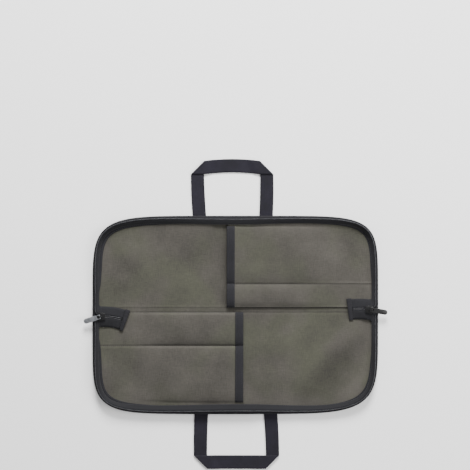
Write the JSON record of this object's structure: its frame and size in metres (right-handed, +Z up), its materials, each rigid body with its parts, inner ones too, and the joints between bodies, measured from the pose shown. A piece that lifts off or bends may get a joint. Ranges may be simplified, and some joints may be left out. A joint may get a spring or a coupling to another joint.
{
  "type": "chef knife roll",
  "caption": "Unzipped chef's knife roll lying open: canvas case with inner pockets, black edge tape, open zip with pulls and a webbing handle on each half.",
  "frame": {"origin": "middle of the bottom of the whole object's box, on the surface that the open case lies on", "axes": "+X along the fold line towards the right end, +Y from the lower half to the upper half, +Z up out of the open inside"},
  "size_m": [0.5066, 0.5178, 0.0161],
  "materials": {
    "canvas": "matt olive canvas, plain weave",
    "tape": "matt black woven tape",
    "webbing": "matt black ribbed webbing",
    "zip_coil": "black nylon coil, slight sheen",
    "black_metal": "black enamel, semi-gloss",
    "pale_metal": "satin grey plating"
  },
  "bodies": {
    "root": {"outer_panel": "canvas", "lining": "canvas", "edge_binding": "tape", "pocket_panel_right": "canvas", "pocket_panel_left": "canvas", "pocket_edge_right": "tape", "pocket_edge_left": "tape", "zip_tape_upper": "tape", "zip_tape_lower": "tape", "zip_coil_upper": "zip_coil", "zip_coil_lower": "zip_coil", "zip_slider_right": "black_metal", "zip_slider_left": "black_metal", "zip_end_tab_right": "tape", "zip_end_tab_left": "tape", "handle_upper": "webbing", "handle_lower": "webbing"},
    "pull_left": {"zip_pull_left": "pale_metal"},
    "pull_right": {"zip_pull_right": "black_metal"}
  },
  "joints": [
    {"name": "pull_left_flip", "type": "hinge", "parent": "root", "child": "pull_left", "pos_m": [-0.22567, -0.00422, 0.0135], "axis": [-0.309, 0.9511, 0], "range_deg": [0, 180]},
    {"name": "pull_right_flip", "type": "hinge", "parent": "root", "child": "pull_right", "pos_m": [0.22493, 0.00744, 0.0135], "axis": [-0.1857, -0.9826, 0], "range_deg": [0, 180]}
  ]
}
